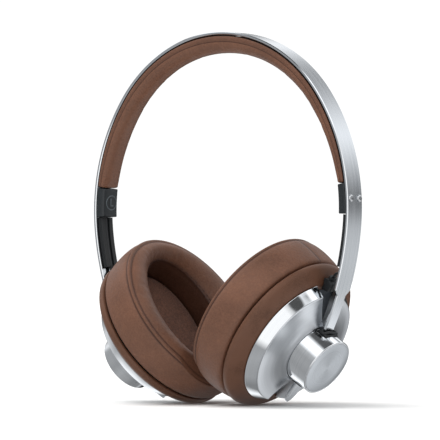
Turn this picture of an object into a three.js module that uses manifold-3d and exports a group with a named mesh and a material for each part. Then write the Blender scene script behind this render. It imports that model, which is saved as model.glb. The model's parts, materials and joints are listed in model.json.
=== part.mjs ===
// Over ear headphones: one brushed metal band, a padded headband and two ear cups. Each cup slides
// along the narrow end of the band, swivels about it and tilts on two trunnions inside its knob.
//
// Millimetres, +Z up, the floor at z = 0. +X is the wearer's right and +Y the wearer's front.
// A cup is built in its own frame: x down its face, y forward and z outward along its axis.
import * as THREE from 'three';
import { mergeVertices } from 'three/addons/utils/BufferGeometryUtils.js';
import Module from 'manifold-3d';

const wasm = await Module();
wasm.setup();
const DEGREE = Math.PI / 180;

// Driving dimensions
const GAP = 0.3; // between pieces that touch
const BAND_TOP = 192.415; // outer face of the band over the head
const BAND_THICK = 1.5;
const BAND_HALF_WIDTH = 6.4;
const TAIL_HALF_WIDTH = 3.6; // the narrow end that runs through the knob
const RAIL_HALF_WIDTH = 4.8; // of the pad's carrier, inside its cover
const PAD_TOP = 2.1; // from the band's outer face down to the headband pad
const PAD_TAPER = 0.4; // share of the headband pad's depth that is lost at its ends
const PAD_TAPER_CURVE = 1.5; // 1 is even, more keeps it full for longer
const BAND_ARCS = [ // radius of the outer face and the angle that each arc turns, from the top
  [77.9, 54.2 * DEGREE],
  [101.6, 42.05 * DEGREE],
  [146.8, 60 * DEGREE],
];
const BLOCK_START = 124.6; // distances along the band, from the top centre
const BLOCK_END = 140.4;
const LINER_END = 168;
const SHOULDER = 179.7;
const SHOULDER_RUN = 2.9;
const PIVOT = 218.3; // where the band crosses the cup's axis
const BAND_TIP = 247;
const CUP_TILT = 33.6 * DEGREE; // the cup's axis below the horizontal
const PIVOT_HEIGHT = 25.6; // from the pad joint, along the cup's axis
const PAD_HOLE = [32.3, 23.8]; // half sizes of the ear opening, down and across
const PAD_BACK = 1.2;
const PAD_ROOM = 35.6; // from the pad joint's centre to where the two cushions meet, level with the floor
const SWIVEL_ROOM = 0.09; // of that room, for each millimetre across the cushion
const KNOB_RADIUS = 15.5;
const KNOB_FACE = 34;
const DISC_BACK = 10.75;
const SLOT = [21.2, 28.4]; // heights of the slot in the knob's wall
const SLOT_MIDDLE = 24.8;
const SOCKET_ANGLE = 60 * DEGREE; // from the lowest point of the right shell, forward
const NOTCH_HALF_WIDTH = 9.12; // of the wedge cut in the disc, at its rim
const SWIVEL_RADIUS = 5.4;
const TRUNNION_RADIUS = 1.5;
const SCREW_SPREAD = 3.6;
const FLAT_LEAD = [1.4, 0.5]; // half width and half thickness of the flat lead
const ROUND_STEPS = 32;
const SMALL_STEPS = 16;

// Finishes
function finish(color, roughness, metalness) {
  return new THREE.MeshStandardMaterial({ color, roughness, metalness });
}
const BRUSHED = finish(0xb9bdc1, 0.35, 1);
const SPUN = finish(0xc6cacd, 0.25, 1);
const STEEL = finish(0xd0d2d4, 0.2, 1);
const LEATHER = finish(0x6b4c3f, 0.6, 0);
const SHELL = finish(0x684a3d, 0.55, 0);
const CLOTH = finish(0x5a3d31, 0.95, 0);
const BLACK_PLASTIC = finish(0x1b2024, 0.45, 0);
const RUBBER = finish(0x14171a, 0.75, 0);
const MAGNET = finish(0x8c8f92, 0.4, 1);
const FILM = finish(0x303236, 0.3, 0);
const BOARD = finish(0x1f5a3a, 0.6, 0);
const CELL = finish(0x9aa0a6, 0.5, 0.2);

// A closed surface from corner points and triangles, turned so that its faces point out.
function closedSurface(points, triangles) {
  let volume = 0;
  for (const [a, b, c] of triangles) {
    volume += points[a].dot(new THREE.Vector3().crossVectors(points[b], points[c]));
  }
  const outward = volume > 0 ? triangles : triangles.map(([a, b, c]) => [a, c, b]);
  const geometry = new THREE.BufferGeometry();
  geometry.setFromPoints(points);
  geometry.setIndex(outward.flat());
  return geometry;
}

// Joins a row of like outlines into one solid, with flat ends. The outlines are convex.
function loft(outlines) {
  const corners = outlines[0].length;
  const triangles = [];
  for (let row = 0; row < outlines.length - 1; row++) {
    for (let corner = 0; corner < corners; corner++) {
      const a = row * corners + corner;
      const b = row * corners + (corner + 1) % corners;
      triangles.push([a, b, b + corners], [a, b + corners, a + corners]);
    }
  }
  const last = (outlines.length - 1) * corners;
  for (let corner = 1; corner < corners - 1; corner++) {
    triangles.push([0, corner + 1, corner], [last, last + corner, last + corner + 1]);
  }
  return closedSurface(outlines.flat(), triangles);
}

function toSolid(geometry) {
  const bare = geometry.clone();
  bare.deleteAttribute('normal');
  bare.deleteAttribute('uv');
  const merged = mergeVertices(bare, 1e-4);
  return new wasm.Manifold(new wasm.Mesh({
    numProp: 3,
    vertProperties: new Float32Array(merged.attributes.position.array),
    triVerts: new Uint32Array(merged.index.array),
  }));
}

function toGeometry(solid) {
  const mesh = solid.getMesh();
  const geometry = new THREE.BufferGeometry();
  geometry.setAttribute('position', new THREE.BufferAttribute(mesh.vertProperties, 3));
  geometry.setIndex(new THREE.BufferAttribute(mesh.triVerts, 1));
  return geometry;
}

const cut = (geometry, ...tools) => toGeometry(
  tools.reduce((solid, tool) => solid.subtract(toSolid(tool)), toSolid(geometry)));
const join = (geometry, ...others) => toGeometry(
  others.reduce((solid, other) => solid.add(toSolid(other)), toSolid(geometry)));
const overlap = (first, second) => toGeometry(toSolid(first).intersect(toSolid(second)));

// A turned piece about z, from [radius, height] points.
function turned(profile, steps = ROUND_STEPS) {
  const points = profile.map(([radius, height]) => new THREE.Vector2(radius, -height));
  const geometry = new THREE.LatheGeometry(points, steps);
  geometry.rotateX(-Math.PI / 2);
  const bare = geometry.clone();
  bare.deleteAttribute('normal');
  bare.deleteAttribute('uv');
  const merged = mergeVertices(bare, 1e-4);
  const index = [...merged.index.array];
  const triangles = [];
  for (let at = 0; at < index.length; at += 3) {
    const corners = index.slice(at, at + 3);
    if (new Set(corners).size === 3) triangles.push(corners);
  }
  const position = merged.attributes.position;
  const corners = [];
  for (let at = 0; at < position.count; at++) {
    corners.push(new THREE.Vector3().fromBufferAttribute(position, at));
  }
  return closedSurface(corners, triangles);
}

const drum = (radius, low, high, steps = SMALL_STEPS) => turned(
  [[0, low], [radius, low], [radius, high], [0, high]], steps);
const ellipseDrum = (halfDown, halfAcross, low, high) => drum(1, low, high, ROUND_STEPS)
  .scale(halfDown, halfAcross, 1);

// A box from its low corner to its high corner.
function block([x0, y0, z0], [x1, y1, z1]) {
  const geometry = new THREE.BoxGeometry(x1 - x0, y1 - y0, z1 - z0);
  return geometry.translate((x0 + x1) / 2, (y0 + y1) / 2, (z0 + z1) / 2);
}

// A prism of a [x, z] outline, from -halfWidth to halfWidth along y.
function prism(outline, halfWidth) {
  const row = (y) => outline.map(([x, z]) => new THREE.Vector3(x, y, z));
  return loft([row(-halfWidth), row(halfWidth)]);
}

// The band's outer face at a distance from the top centre. The left side is negative.
function bandStation(distance) {
  const side = distance < 0 ? -1 : 1;
  let rest = Math.abs(distance);
  let angle = 0;
  let x = 0;
  let z = BAND_TOP;
  for (const [radius, turn] of BAND_ARCS) {
    const step = Math.min(rest / radius, turn);
    x += radius * (Math.sin(angle + step) - Math.sin(angle));
    z += radius * (Math.cos(angle + step) - Math.cos(angle));
    angle += step;
    rest -= step * radius;
  }
  return { x: side * x, z, angle: side * angle };
}

// A point at a distance along the band, y across it and `out` beyond its outer face.
function onBand(distance, y, out) {
  const { x, z, angle } = bandStation(distance);
  return new THREE.Vector3(x + out * Math.sin(angle), y, z + out * Math.cos(angle));
}

const evenSteps = (from, to, count) => Array.from({ length: count + 1 },
  (_, at) => from + (to - from) * at / count);

// A solid that follows the band: its [y, out] outline is carried from one distance to another.
const alongBand = (distances, outline) => loft(distances.map(
  (distance) => outline.map(([y, out]) => onBand(distance, y, out))));

const slab = (halfWidth, low, high) => [
  [-halfWidth, low], [halfWidth, low], [halfWidth, high], [-halfWidth, high]];

function bandStrip() {
  const tip = [
    [BAND_TIP - 9, TAIL_HALF_WIDTH], [BAND_TIP - 4, TAIL_HALF_WIDTH * 0.86],
    [BAND_TIP - 1.2, TAIL_HALF_WIDTH * 0.6], [BAND_TIP, TAIL_HALF_WIDTH * 0.25]];
  const half = [
    ...evenSteps(0, BLOCK_START, 12).map((distance) => [distance, BAND_HALF_WIDTH]),
    ...evenSteps(BLOCK_END, SHOULDER, 4).map((distance) => [distance, BAND_HALF_WIDTH]),
    ...evenSteps(SHOULDER + SHOULDER_RUN, BAND_TIP - 14, 6).map((distance) => [distance, TAIL_HALF_WIDTH]),
    ...tip,
  ];
  const left = half.slice(1).reverse().map(([distance, width]) => [-distance, width]);
  const outlines = [...left, ...half].map(([distance, width]) => slab(width, -BAND_THICK, 0)
    .map(([y, out]) => onBand(distance, y, out)));
  return cut(loft(outlines), ...[-1, 1].flatMap((side) => screwTools(side)));
}

// Clearance cylinders for the two screws that hold an end block.
function screwTools(side) {
  return [-SCREW_SPREAD, SCREW_SPREAD].map((y) => atScrew(drum(1.3, -5.6, 3, 12), side, y));
}

function atScrew(geometry, side, y) {
  const distance = side * (BLOCK_START + BLOCK_END) / 2;
  const foot = onBand(distance, y, 0);
  return geometry.rotateY(bandStation(distance).angle).translate(foot.x, foot.y, foot.z);
}

const blockScrew = (side, y) => atScrew(
  turned([[0, -5], [1, -5], [1, GAP], [1.9, GAP], [1.7, 0.9], [0, 0.9]], 12), side, y);

const leadGroove = (distances) => alongBand(distances, slab(1.8, -4, 0));

// The headband pad, over its carrier's rail: full over the head and thinner towards its ends.
function headbandPad(reach, railRoom) {
  const outline = [
    [-6.3, -PAD_TOP], [6.3, -PAD_TOP], [6.7, -5.6], [6.1, -7.6], [4.9, -9], [2.8, -9.9],
    [0, -10.3], [-2.8, -9.9], [-4.9, -9], [-6.1, -7.6], [-6.7, -5.6]];
  const body = loft(reach.map((distance) => {
    const depth = 1 - PAD_TAPER * (Math.abs(distance) / BLOCK_START) ** PAD_TAPER_CURVE;
    return outline.map(([y, out]) => onBand(distance, y, (out + PAD_TOP) * depth - PAD_TOP));
  }));
  return cut(body, railRoom);
}

function headband(parent) {
  const reach = evenSteps(GAP - BLOCK_START, BLOCK_START - GAP, 24);
  const carrier = alongBand(reach, slab(RAIL_HALF_WIDTH, -4.6, -BAND_THICK - GAP));
  const pastEnds = evenSteps(-BLOCK_START - 1, BLOCK_START + 1, 24);
  const railRoom = alongBand(pastEnds, slab(RAIL_HALF_WIDTH + GAP, -4.9, 0));
  const middle = (BLOCK_START + BLOCK_END) / 2;
  const leadReach = evenSteps(-middle, middle, 24);
  piece('band_strip', bandStrip(), BRUSHED, parent);
  piece('pad_carrier', cut(carrier, leadGroove(pastEnds)), BLACK_PLASTIC, parent);
  piece('headband_pad', headbandPad(reach, railRoom), LEATHER, parent);
  piece('band_lead', alongBand(leadReach, slab(FLAT_LEAD[0], -3.4, -2.4)), RUBBER, parent);
}

function bandEnd(side, tag, parent) {
  const ends = evenSteps(side * BLOCK_START, side * BLOCK_END, 3);
  const crown = [
    [-6.3, -1.8], [6.3, -1.8], [6.3, -4.2], [4.4, -6.2], [0, -7], [-4.4, -6.2], [-6.3, -4.2]];
  const groove = leadGroove(evenSteps(side * (BLOCK_START - 1), side * (BLOCK_END + 1), 3));
  const body = cut(alongBand(ends, crown), groove, ...screwTools(side));
  piece(`end_block_${tag}`, body, BLACK_PLASTIC, parent);
  const run = evenSteps(side * (BLOCK_END + GAP), side * LINER_END, 3);
  const trough = evenSteps(side * BLOCK_END, side * (LINER_END + 1), 3);
  const liner = alongBand(run, slab(4.6, -4.2, -BAND_THICK - GAP));
  piece(`lead_liner_${tag}`, cut(liner, alongBand(trough, slab(1.8, -5, -2.2))), BLACK_PLASTIC, parent);
  piece(`block_screw_rear_${tag}`, blockScrew(side, -SCREW_SPREAD), STEEL, parent);
  piece(`block_screw_front_${tag}`, blockScrew(side, SCREW_SPREAD), STEEL, parent);
}

function piece(name, geometry, material, parent) {
  const mesh = new THREE.Mesh(geometry, material);
  mesh.name = name;
  parent.add(mesh);
}

// Flattens a cushion where the two of them press on each other, with room left for the cups to swivel.
function pressed(cushion) {
  const corners = cushion.attributes.position;
  for (let at = 0; at < corners.count; at++) {
    const reach = corners.getX(at) * Math.sin(CUP_TILT) + Math.abs(corners.getY(at)) * SWIVEL_ROOM;
    const lowest = (reach - PAD_ROOM) / Math.cos(CUP_TILT);
    corners.setZ(at, Math.max(corners.getZ(at), lowest));
  }
  return cushion;
}

// The cushion: a ring of leather round an oval opening, with a bulged face and a lower inner lip.
function earPad() {
  const body = turned([
    [0, PAD_BACK], [42.2, PAD_BACK], [43.4, -0.6], [44.4, -6], [44.9, -12], [44.2, -18.3],
    [42.5, -20.4], [39, -21.4], [35, -20], [31.5, -17], [28.5, -15], [25.5, -13.8], [0, -13.4]]);
  return cut(pressed(body), ellipseDrum(...PAD_HOLE, -24, 4));
}

// The ring that the cushion clips to, inside the shell's rim.
const padPlate = () => cut(drum(40.2, PAD_BACK + GAP, 3.2, ROUND_STEPS), ellipseDrum(...PAD_HOLE, 0, 6));

function baffleAndDriver(tag, parent) {
  const [down, across] = PAD_HOLE;
  const plate = ellipseDrum(down - 0.6, across - 0.6, -0.8, 0.8);
  piece(`baffle_cloth_${tag}`, ellipseDrum(down - 0.6, across - 0.6, -2, -1.1), CLOTH, parent);
  piece(`baffle_${tag}`, cut(plate, drum(16, -1, 1)), BLACK_PLASTIC, parent);
  piece(`driver_diaphragm_${tag}`, turned([
    [0, 1.8], [8, 1.4], [17.6, 2], [17.6, 2.6], [8, 2], [0, 2.4]], SMALL_STEPS), FILM, parent);
  piece(`driver_frame_${tag}`, turned([
    [18, 1.2], [20.5, 1.2], [20.5, 3], [17.5, 5.6], [7, 5.6], [7, 4.2], [16.5, 4.2], [18, 3.2], [18, 1.2]],
  SMALL_STEPS), BLACK_PLASTIC, parent);
  piece(`driver_magnet_${tag}`, drum(11.5, 5.9, 10), MAGNET, parent);
}

// The leather coloured shell: a rounded edge beside the cushion, then a slope up to the disc.
function cupShell(sockets) {
  const shell = turned([
    [12.5, 10.4], [35.7, 10.4], [41.2, 7.2], [42.8, 5.2], [43.1, 3.6], [42.4, 2.3], [40.6, 2.1],
    [40.6, 4.4], [38.8, 6.4], [34.6, 8.6], [12.5, 8.6], [12.5, 10.4]]);
  return sockets.length ? cut(shell, ...sockets) : shell;
}

// The wedge cut in the disc: a V in plan with a ramp for its floor, so that the band's end swings clear.
function notchTool() {
  const plan = [[KNOB_RADIUS, 0], [36, NOTCH_HALF_WIDTH], [36, -NOTCH_HALF_WIDTH]];
  const wedge = loft([5, 26].map((z) => plan.map(([x, y]) => new THREE.Vector3(x, y, z))));
  const low = DISC_BACK - 0.4;
  const ramp = prism([[KNOB_RADIUS, 18.8], [33, low], [40, low], [40, 25], [KNOB_RADIUS, 25]], 12);
  return overlap(wedge, ramp);
}

function housingDisc() {
  const bore = KNOB_RADIUS + GAP;
  const disc = turned([
    [bore, 12.5], [19.4, 12.5], [19.4, DISC_BACK], [35.3, DISC_BACK], [32.2, 16.2], [31.7, 16.6],
    [27, 17.2], [21.5, 18.3], [18, 19.6], [16.5, 20.9], [bore, 20.9], [bore, 12.5]]);
  return cut(disc, notchTool(), notchTool().rotateZ(Math.PI));
}

function knobBarrel() {
  const wall = turned([
    [13.5, DISC_BACK], [19.1, DISC_BACK], [19.1, 12.2], [KNOB_RADIUS, 12.2], [KNOB_RADIUS, KNOB_FACE - 0.5],
    [15, KNOB_FACE], [14.6, KNOB_FACE], [14.6, 32.4], [13.5, 32.4], [13.5, DISC_BACK]]);
  return cut(wall, block([-20, -5.9, SLOT[0]], [20, 5.9, SLOT[1]]));
}

const knobCap = () => turned([
  [0, 32.7], [14.3, 32.7], [14.3, KNOB_FACE - 0.3], [14, KNOB_FACE], [0, KNOB_FACE]]);

// A rubber lip round the band's end, in the knob's wall slot. `end` is 1 below and -1 above.
function slotGrommet(end) {
  const frame = block([13.8, -5.6, SLOT[0] + GAP], [16.6, 5.6, SLOT[1] - GAP]);
  const sides = TAIL_HALF_WIDTH + 2 * GAP;
  const hole = block([13, -sides, SLOT_MIDDLE - 2.2], [18, sides, SLOT_MIDDLE + 1.2]);
  const lip = cut(frame, hole);
  return end > 0 ? lip : lip.rotateZ(Math.PI);
}

// The cup's base for the trunnions: a plate with two posts.
function pivotBracket() {
  const posts = [[-11, -8.1], [8.1, 11]].map(([low, high]) => block([-3, low, 15], [3, high, 28.6]));
  const bore = drum(TRUNNION_RADIUS + GAP, -13, 13, 16).rotateX(Math.PI / 2).translate(0, 0, PIVOT_HEIGHT);
  return cut(join(drum(13.1, 12.6, 16.3), ...posts), bore);
}

// The cradle that holds the shoe and turns on the bracket's posts.
function swivelYoke() {
  const body = block([-4, -7.6, PIVOT_HEIGHT - 8.4], [4, 7.6, PIVOT_HEIGHT + 4.8]);
  const bore = drum(SWIVEL_RADIUS + GAP, -6, 6).rotateY(Math.PI / 2).translate(0, 0, PIVOT_HEIGHT);
  const pins = [[-11.4, -7], [7, 11.4]].map(([low, high]) => drum(TRUNNION_RADIUS, low, high, 16)
    .rotateX(-Math.PI / 2).translate(0, 0, PIVOT_HEIGHT));
  return join(cut(body, bore), ...pins);
}

// The friction shoe that the band's end slides through.
function sliderShoe() {
  const body = drum(SWIVEL_RADIUS, -5.6, 5.6).rotateY(Math.PI / 2).translate(0, 0, PIVOT_HEIGHT);
  const slot = block([-8, -TAIL_HALF_WIDTH - GAP, PIVOT_HEIGHT - BAND_THICK - 0.42],
    [8, TAIL_HALF_WIDTH + GAP, PIVOT_HEIGHT + 0.32]);
  return cut(body, slot);
}

const strainRelief = () => prism([
  [-33, 11.1], [-35.8, 10.8], [-38.4, 9.4], [-39.4, 12.2], [-37.4, 14.8], [-33.4, 14.8]], 3.8);

// The flat lead, from the strain relief up the liner's trough to the end block. It flexes.
function flexingLead() {
  const toCup = new THREE.Matrix4().copy(cupPlace).invert();
  const points = [
    new THREE.Vector3(-40, 0, 11.8), new THREE.Vector3(-43, 0, 12.4),
    ...evenSteps(LINER_END + 4, BLOCK_END - 7, 6)
      .map((distance) => onBand(distance, 0, -3.1).applyMatrix4(toCup)),
  ];
  const path = new THREE.CatmullRomCurve3(points);
  const outline = new THREE.Shape();
  outline.absellipse(0, 0, FLAT_LEAD[0], FLAT_LEAD[1], 0, 2 * Math.PI);
  return new THREE.ExtrudeGeometry(outline, { steps: 16, curveSegments: 4, extrudePath: path });
}

// Where the cup sits on the right side: on the line through the pivot, along its tilted axis.
function cupMatrix() {
  const pivot = bandStation(PIVOT);
  const axis = new THREE.Vector3(Math.cos(CUP_TILT), 0, -Math.sin(CUP_TILT));
  const centre = new THREE.Vector3(pivot.x, 0, pivot.z).addScaledVector(axis, -PIVOT_HEIGHT);
  const turn = new THREE.Matrix4().makeRotationY(Math.PI / 2 + CUP_TILT);
  return turn.setPosition(centre);
}
const cupPlace = cupMatrix();

function earCup(tag, parent, sockets) {
  piece(`ear_pad_${tag}`, earPad(), LEATHER, parent);
  piece(`pad_plate_${tag}`, padPlate(), BLACK_PLASTIC, parent);
  baffleAndDriver(tag, parent);
  piece(`cup_shell_${tag}`, cupShell(sockets), SHELL, parent);
  piece(`housing_disc_${tag}`, housingDisc(), SPUN, parent);
  piece(`knob_barrel_${tag}`, knobBarrel(), STEEL, parent);
  piece(`knob_cap_${tag}`, knobCap(), SPUN, parent);
  piece(`slot_grommet_upper_${tag}`, slotGrommet(-1), RUBBER, parent);
  piece(`slot_grommet_lower_${tag}`, slotGrommet(1), RUBBER, parent);
  piece(`pivot_bracket_${tag}`, pivotBracket(), BLACK_PLASTIC, parent);
  piece(`swivel_yoke_${tag}`, swivelYoke(), STEEL, parent);
  piece(`slider_shoe_${tag}`, sliderShoe(), BLACK_PLASTIC, parent);
  piece(`strain_relief_${tag}`, strainRelief(), RUBBER, parent);
  piece(`cup_lead_${tag}`, flexingLead(), RUBBER, parent);
}

// The charging socket stands in the shell's front edge, and the circuit board is behind it.
const socketBox = (margin) => block(
  [34.5, -3.9 - margin, 3.4 - margin],
  [42.4 + 4 * margin, 3.9 + margin, 5.8 + margin]).rotateZ(SOCKET_ANGLE);

function electronics(rightCup, leftCup) {
  const mouth = block([39.6, -3.1, 4], [44, 3.1, 5.2]).rotateZ(SOCKET_ANGLE);
  piece('charging_socket', cut(socketBox(0), mouth), STEEL, rightCup);
  piece('circuit_board', block([-36, -13, 4.4], [-24, 13, 5.8]), BOARD, rightCup);
  piece('battery', block([24, -11, 3.6], [35.5, 11, 6.8]), CELL, leftCup);
}

const group = new THREE.Group();
headband(group);
const cups = {};
for (const [tag, turn] of [['R', 0], ['L', Math.PI]]) {
  bandEnd(tag === 'R' ? 1 : -1, tag, group);
  const side = new THREE.Group();
  side.rotation.z = turn;
  const cup = new THREE.Group();
  cup.applyMatrix4(cupPlace);
  side.add(cup);
  group.add(side);
  earCup(tag, cup, tag === 'R' ? [socketBox(GAP)] : []);
  cups[tag] = cup;
}
electronics(cups.R, cups.L);

export default group;
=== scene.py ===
"""Over ear headphones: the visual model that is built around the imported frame."""

import json
import math

import bpy
import numpy as np
from bpy.props import FloatProperty, FloatVectorProperty, PointerProperty
from bpy.types import Operator, Panel, PropertyGroup
from mathutils import Matrix, Vector


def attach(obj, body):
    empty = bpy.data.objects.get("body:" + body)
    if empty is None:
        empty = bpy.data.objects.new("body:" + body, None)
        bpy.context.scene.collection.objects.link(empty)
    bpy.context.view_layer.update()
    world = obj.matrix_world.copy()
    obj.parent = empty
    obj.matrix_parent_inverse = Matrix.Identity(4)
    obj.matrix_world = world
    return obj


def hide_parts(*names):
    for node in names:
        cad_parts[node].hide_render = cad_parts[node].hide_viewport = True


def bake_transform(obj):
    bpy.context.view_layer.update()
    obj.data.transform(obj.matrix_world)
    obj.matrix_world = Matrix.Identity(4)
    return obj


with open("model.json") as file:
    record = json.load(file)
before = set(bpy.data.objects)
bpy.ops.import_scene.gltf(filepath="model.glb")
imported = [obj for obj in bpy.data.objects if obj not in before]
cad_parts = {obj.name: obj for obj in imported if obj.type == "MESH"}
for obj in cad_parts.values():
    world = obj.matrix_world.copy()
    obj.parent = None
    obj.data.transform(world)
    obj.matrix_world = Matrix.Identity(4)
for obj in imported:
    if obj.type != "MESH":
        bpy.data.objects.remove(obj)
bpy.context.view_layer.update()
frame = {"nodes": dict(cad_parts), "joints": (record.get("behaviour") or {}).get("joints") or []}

bl_info = {
    "name": "Over Ear Headphones",
    "version": (1, 0, 0),
    "blender": (4, 5, 0),
    "location": "3D View > Sidebar > Headphones",
    "description": "Builds the surfaces of a pair of over ear headphones around their joints",
    "category": "Object",
}

# Driving sizes of the headphones, in millimetres. Outlines are pairs of numbers.
MM = 0.001
BAND_TOP = 192.415
BAND_THICK = 1.5
BAND_HALF_WIDTH = 6.4
TAIL_HALF_WIDTH = 3.6
PAD_TOP = 2.1  # from the band's outer face down to the headband pad
PAD_TAPER, PAD_TAPER_CURVE = 0.4, 1.5  # share of the pad's depth lost at its ends, and how late it goes
BAND_ARCS = [(77.9, math.radians(54.2)), (101.6, math.radians(42.05)), (146.8, math.radians(60))]
BLOCK_START, BLOCK_END = 124.6, 140.4
LINER_END = 168.0
SHOULDER, SHOULDER_RUN = 179.7, 2.9
BAND_TIP = 247.0
SCREWS = (BLOCK_START + BLOCK_END) / 2
SCREW_SPREAD = 3.6
PIVOT_HEIGHT = 25.6
EAR_HOLE = (32.3, 23.8)
KNOB_RADIUS = 15.5
SLOT_LOW, SLOT_HIGH, SLOT_HALF_WIDTH = 21.2, 28.4, 5.9
STRIP_MIDDLE = PIVOT_HEIGHT - BAND_THICK / 2
SOCKET_TURN = math.radians(60)
ROUND = 192
SIDES = ("R", "L")
JOINTS = {joint["name"]: joint for joint in frame["joints"]}


def band_station(distance):
    """Place (x, z) of the band's outer face and its slope, at a distance along it from the top."""
    side = -1 if distance < 0 else 1
    rest, slope, x, z = abs(distance), 0.0, 0.0, BAND_TOP
    for radius, turn in BAND_ARCS:
        step = min(rest / radius, turn)
        x += radius * (math.sin(slope + step) - math.sin(slope))
        z += radius * (math.cos(slope + step) - math.cos(slope))
        slope += step
        rest -= step * radius
    return side * x, z, side * slope


def on_band(distance, y, out):
    """The point beside the band's outer face, in metres: y across it, out away from the head."""
    x, z, slope = band_station(distance)
    return Vector((x + out * math.sin(slope), y, z + out * math.cos(slope))) * MM


def cup_place(side):
    """The cup's own frame: x down its face, y along its tilt axis and z outward, from the pad joint."""
    down = -Vector(JOINTS[f"swivel_{side}"]["axis"]).normalized()
    across = -Vector(JOINTS[f"tilt_{side}"]["axis"]).normalized()
    out = down.cross(across)
    pivot = Vector(JOINTS[f"tilt_{side}"]["pos_m"])
    turned = Matrix((down, across, out)).transposed().to_4x4()
    return Matrix.Translation(pivot - out * PIVOT_HEIGHT * MM) @ turned


def side_sign(side):
    return 1 if side == "R" else -1


# Mesh helpers


def make_piece(name, points, faces, material, place=None):
    """A smooth-shaded mesh object from points in metres and faces."""
    mesh = bpy.data.meshes.new(name)
    mesh.from_pydata([tuple(point) for point in points], [], faces)
    mesh.validate()
    mesh.materials.append(material)
    piece = bpy.data.objects.new(name, mesh)
    bpy.context.scene.collection.objects.link(piece)
    if place is not None:
        piece.matrix_world = place
    smooth(piece)
    return piece


def smooth(piece, crease=math.radians(38)):
    piece.data.shade_smooth()
    piece.data.set_sharp_from_angle(angle=crease)


def grid_faces(rows, columns, closed=False):
    """Quads between neighbouring rings of points. A closed grid joins its last ring to its first."""
    faces = []
    for row in range(rows if closed else rows - 1):
        after = (row + 1) % rows
        for column in range(columns):
            beside = (column + 1) % columns
            faces.append((row * columns + column, row * columns + beside,
                          after * columns + beside, after * columns + column))
    return faces


def rounded(outline, radius, steps=3):
    """An open outline with each inner corner replaced by a small arc."""
    outline = [np.array(point, float) for point in outline]
    result = [outline[0]]
    for before, corner, after in zip(outline, outline[1:], outline[2:]):
        back, ahead = before - corner, after - corner
        reach = min(radius, 0.45 * np.linalg.norm(back), 0.45 * np.linalg.norm(ahead))
        start = corner + back / np.linalg.norm(back) * reach
        end = corner + ahead / np.linalg.norm(ahead) * reach
        for t in np.linspace(0, 1, steps + 1):
            result.append((1 - t) ** 2 * start + 2 * t * (1 - t) * corner + t * t * end)
    result.append(outline[-1])
    return result


def turned(name, outline, material, place=None, steps=ROUND):
    """A solid of revolution about z from (radius, height) points. It is closed by poles or as a ring."""
    rings = [point for point in outline if point[0] > 1e-6]
    angles = np.linspace(0, 2 * math.pi, steps, endpoint=False)
    points = [(r * math.cos(a) * MM, r * math.sin(a) * MM, d * MM) for r, d in rings for a in angles]
    ring_shaped = outline[0][0] > 1e-6 and outline[-1][0] > 1e-6
    faces = grid_faces(len(rings), steps, closed=ring_shaped)
    for pole, ring, flip in ((outline[0], 0, True), (outline[-1], len(rings) - 1, False)):
        if pole[0] <= 1e-6:
            points.append((0, 0, pole[1] * MM))
            for column in range(steps):
                a, b = ring * steps + column, ring * steps + (column + 1) % steps
                faces.append((b, a, len(points) - 1) if flip else (a, b, len(points) - 1))
    return face_outward(make_piece(name, points, faces, material, place))


def face_outward(piece):
    """Turns the faces of a closed mesh outward."""
    co = np.array([v.co for v in piece.data.vertices])
    volume = 0.0
    for face in piece.data.polygons:
        corners = co[list(face.vertices)]
        for second, third in zip(corners[1:-1], corners[2:]):
            volume += np.dot(corners[0], np.cross(second, third))
    if volume < 0:
        piece.data.flip_normals()
    return piece


def loft(name, outlines, material, place=None):
    """A closed solid through like outlines of points in metres, with flat ends."""
    size = len(outlines[0])
    points = [point for outline in outlines for point in outline]
    faces = grid_faces(len(outlines), size)
    last = (len(outlines) - 1) * size
    faces += [tuple(range(size))[::-1], tuple(range(last, last + size))]
    return face_outward(make_piece(name, points, faces, material, place))


def tube(name, path, section, side_way, material, closed=False):
    """A tube along a path (metres): section gives (along side_way, along the third way) pairs in mm."""
    path = [Vector(point) for point in path]
    outlines = []
    for index, point in enumerate(path):
        before = path[index - 1] if closed or index else path[0]
        after = path[(index + 1) % len(path)] if closed or index + 1 < len(path) else path[-1]
        run = (after - before).normalized()
        third = run.cross(side_way).normalized()
        flat = third.cross(run).normalized()
        outlines.append([point + (flat * a + third * b) * MM for a, b in section])
    if closed:
        points = [point for outline in outlines for point in outline]
        faces = grid_faces(len(outlines), len(section), closed=True)
        return face_outward(make_piece(name, points, faces, material))
    return loft(name, outlines, material)


def oval(half_width, half_height, steps=12):
    angles = np.linspace(0, 2 * math.pi, steps, endpoint=False)
    return [(half_width * math.cos(a), half_height * math.sin(a)) for a in angles]


def along(start, end, step):
    return list(np.linspace(start, end, max(2, round(abs(end - start) / step) + 1)))


def settled(piece):
    """The piece with its modifiers applied to its mesh."""
    bpy.context.view_layer.update()
    seen = piece.evaluated_get(bpy.context.evaluated_depsgraph_get())
    mesh = bpy.data.meshes.new_from_object(seen)
    piece.modifiers.clear()
    piece.data = mesh
    return piece


def carve(piece, *tools):
    """Cuts the closed tools out of a piece and removes them."""
    for tool in tools:
        cutter = piece.modifiers.new("cut", "BOOLEAN")
        cutter.operation = "DIFFERENCE"
        cutter.solver = "EXACT"
        cutter.object = tool
        settled(piece)
        bpy.data.objects.remove(tool)
    smooth(piece)
    return piece


def soften(piece, width, segments=2, angle=math.radians(38)):
    """Rounds the sharp edges by a width in mm, so that they catch the light as real ones do."""
    edge = piece.modifiers.new("edge radius", "BEVEL")
    edge.width = width * MM
    edge.segments = segments
    edge.limit_method = "ANGLE"
    edge.angle_limit = angle
    edge.harden_normals = True
    return piece


def wedge(name, corners, material, place):
    """A closed solid from two like outlines of (x, y, z) corners in mm."""
    return loft(name, [[Vector(corner) * MM for corner in outline] for outline in corners], material, place)


def paint(piece, name, values):
    """A number for each point of the mesh, which its material reads."""
    layer = piece.data.attributes.new(name, "FLOAT", "POINT")
    layer.data.foreach_set("value", np.asarray(values, np.float32))


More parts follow.
